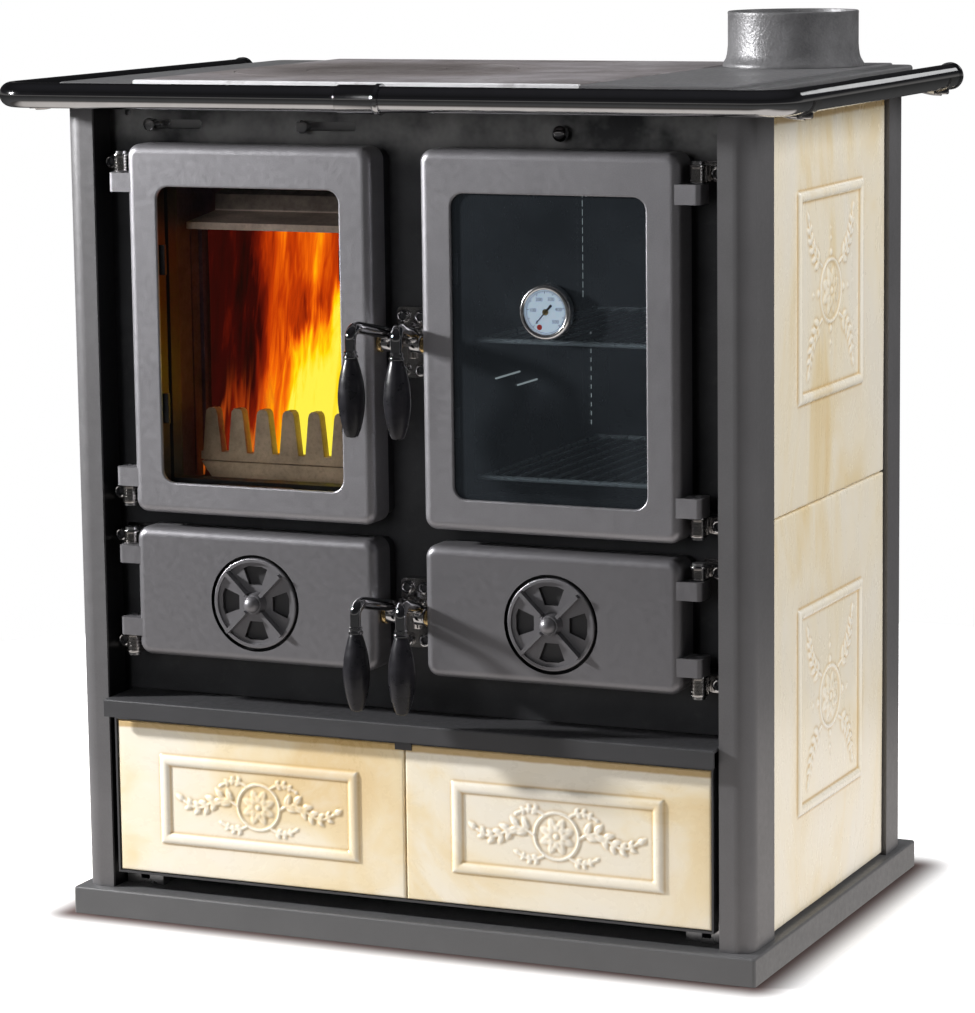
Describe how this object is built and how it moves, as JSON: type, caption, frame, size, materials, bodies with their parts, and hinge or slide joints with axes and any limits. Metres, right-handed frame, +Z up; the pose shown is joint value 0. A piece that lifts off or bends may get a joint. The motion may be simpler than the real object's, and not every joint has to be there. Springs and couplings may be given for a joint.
{
  "type": "wood cookstove",
  "caption": "Wood-burning cookstove with a glazed firebox door, an oven, ash and clean-out doors with air discs, a tiled wood drawer, tiled sides, a cast hob and a chrome rail.",
  "frame": {"origin": "centre of the plinth's underside, on the floor", "axes": "+Z up; the doors and drawer face -Y; +X is to the right as seen from the front"},
  "size_m": [0.8522, 0.5571, 0.916],
  "materials": {
    "grey_paint": "textured satin grey paint",
    "black_panel": "satin black enamel",
    "cast_door": "smooth cast iron in grey metallic satin paint",
    "bare_cast": "ground bare cast iron, oiled",
    "raw_cast": "raw dark cast iron",
    "firebrick": "heat-tanned cast iron",
    "chrome": "polished chrome",
    "tile_glaze": "cream marbled glaze",
    "fire_glass": "clear ceramic glass",
    "oven_glass": "dark oven glass",
    "rope_seal": "braided glass rope",
    "grip_black": "gloss black bakelite",
    "zinc": "zinc-plated steel",
    "oven_steel": "dark enamelled steel",
    "dial": "printed dial in a bright rim",
    "needle": "black lacquer"
  },
  "bodies": {
    "cookstove": {"ash_pan": "zinc", "back_panel": "black_panel", "corner_posts": "grey_paint", "drawer_runners": "zinc", "firebox_baffle": "firebrick", "firebox_liners": "firebrick", "flue_collar": "grey_paint", "front_panel": "black_panel", "front_screws": "chrome", "grate": "raw_cast", "hearth_plate": "raw_cast", "hinge_brackets": "chrome", "hinge_pins": "zinc", "hob_frame": "grey_paint", "hob_plate": "bare_cast", "hob_side_plate": "grey_paint", "latch_keepers": "chrome", "log_guard": "firebrick", "lower_door_seats": "black_panel", "oven_liner": "oven_steel", "oven_racks": "chrome", "plinth": "grey_paint", "rail_brackets": "chrome", "rail_fittings": "chrome", "rail_left": "chrome", "rail_right": "chrome", "side_panels": "black_panel", "side_tiles": "tile_glaze", "sill_shelf": "grey_paint", "upper_door_seats": "black_panel"},
    "firebox_door": {"firebox_door": "cast_door", "firebox_glass": "fire_glass", "firebox_glass_clips": "zinc", "firebox_door_seal": "rope_seal"},
    "oven_door": {"oven_door": "cast_door", "oven_glass": "oven_glass", "oven_glass_clips": "zinc", "oven_door_seal": "rope_seal", "thermometer_case": "dial"},
    "thermometer_needle": {"thermometer_needle": "needle"},
    "ash_door": {"ash_door": "cast_door"},
    "cleanout_door": {"cleanout_door": "cast_door"},
    "ash_damper": {"ash_damper": "cast_door"},
    "cleanout_damper": {"cleanout_damper": "cast_door"},
    "firebox_latch": {"firebox_latch_lever": "chrome", "firebox_latch_grip": "grip_black"},
    "oven_latch": {"oven_latch_lever": "chrome", "oven_latch_grip": "grip_black"},
    "ash_latch": {"ash_latch_lever": "chrome", "ash_latch_grip": "grip_black"},
    "cleanout_latch": {"cleanout_latch_lever": "chrome", "cleanout_latch_grip": "grip_black"},
    "air_slider_left": {"air_slider_left": "zinc"},
    "air_slider_right": {"air_slider_right": "zinc"},
    "bypass_rod": {"bypass_rod": "chrome"},
    "wood_drawer": {"drawer_front": "grey_paint", "drawer_tiles": "tile_glaze", "drawer_box": "black_panel"},
    "hob_ring": {"hob_ring": "bare_cast"},
    "hob_lid": {"hob_lid": "bare_cast"}
  },
  "joints": [
    {"name": "firebox_door_hinge", "type": "hinge", "parent": "cookstove", "child": "firebox_door", "pos_m": [-0.309, -0.224, 0.61], "axis": [0, 0, -1], "range_deg": [0, 110]},
    {"name": "oven_door_hinge", "type": "hinge", "parent": "cookstove", "child": "oven_door", "pos_m": [0.309, -0.224, 0.61], "axis": [0, 0, 1], "range_deg": [0, 110]},
    {"name": "ash_door_hinge", "type": "hinge", "parent": "cookstove", "child": "ash_door", "pos_m": [-0.309, -0.224, 0.343], "axis": [0, 0, -1], "range_deg": [0, 110]},
    {"name": "cleanout_door_hinge", "type": "hinge", "parent": "cookstove", "child": "cleanout_door", "pos_m": [0.309, -0.224, 0.343], "axis": [0, 0, 1], "range_deg": [0, 110]},
    {"name": "firebox_latch_pivot", "type": "hinge", "parent": "firebox_door", "child": "firebox_latch", "pos_m": [-0.03, -0.223, 0.605], "axis": [-1, 0, 0], "range_deg": [0, 45]},
    {"name": "oven_latch_pivot", "type": "hinge", "parent": "oven_door", "child": "oven_latch", "pos_m": [0.03, -0.223, 0.605], "axis": [-1, 0, 0], "range_deg": [0, 45]},
    {"name": "ash_latch_pivot", "type": "hinge", "parent": "ash_door", "child": "ash_latch", "pos_m": [-0.03, -0.223, 0.334], "axis": [-1, 0, 0], "range_deg": [0, 45]},
    {"name": "cleanout_latch_pivot", "type": "hinge", "parent": "cleanout_door", "child": "cleanout_latch", "pos_m": [0.03, -0.223, 0.334], "axis": [-1, 0, 0], "range_deg": [0, 45]},
    {"name": "ash_damper_turn", "type": "hinge", "parent": "ash_door", "child": "ash_damper", "pos_m": [-0.16125, -0.238, 0.338], "axis": [0, 1, 0], "range_deg": [0, 45]},
    {"name": "cleanout_damper_turn", "type": "hinge", "parent": "cleanout_door", "child": "cleanout_damper", "pos_m": [0.16125, -0.238, 0.338], "axis": [0, 1, 0], "range_deg": [0, 45]},
    {"name": "thermometer_needle_turn", "type": "hinge", "parent": "oven_door", "child": "thermometer_needle", "pos_m": [0.16125, -0.244, 0.643], "axis": [0, 1, 0], "range_deg": [0, 250]},
    {"name": "air_slider_left_slide", "type": "slide", "parent": "cookstove", "child": "air_slider_left", "axis": [1, 0, 0], "range_m": [0, 0.045]},
    {"name": "air_slider_right_slide", "type": "slide", "parent": "cookstove", "child": "air_slider_right", "axis": [1, 0, 0], "range_m": [0, 0.045]},
    {"name": "bypass_rod_slide", "type": "slide", "parent": "cookstove", "child": "bypass_rod", "axis": [0, -1, 0], "range_m": [0, 0.06]},
    {"name": "wood_drawer_slide", "type": "slide", "parent": "cookstove", "child": "wood_drawer", "axis": [0, -1, 0], "range_m": [0, 0.34]},
    {"name": "hob_ring_lift", "type": "slide", "parent": "cookstove", "child": "hob_ring", "axis": [0, 0, 1], "range_m": [0, 0.12]},
    {"name": "hob_lid_lift", "type": "slide", "parent": "hob_ring", "child": "hob_lid", "axis": [0, 0, 1], "range_m": [0, 0.12]}
  ]
}
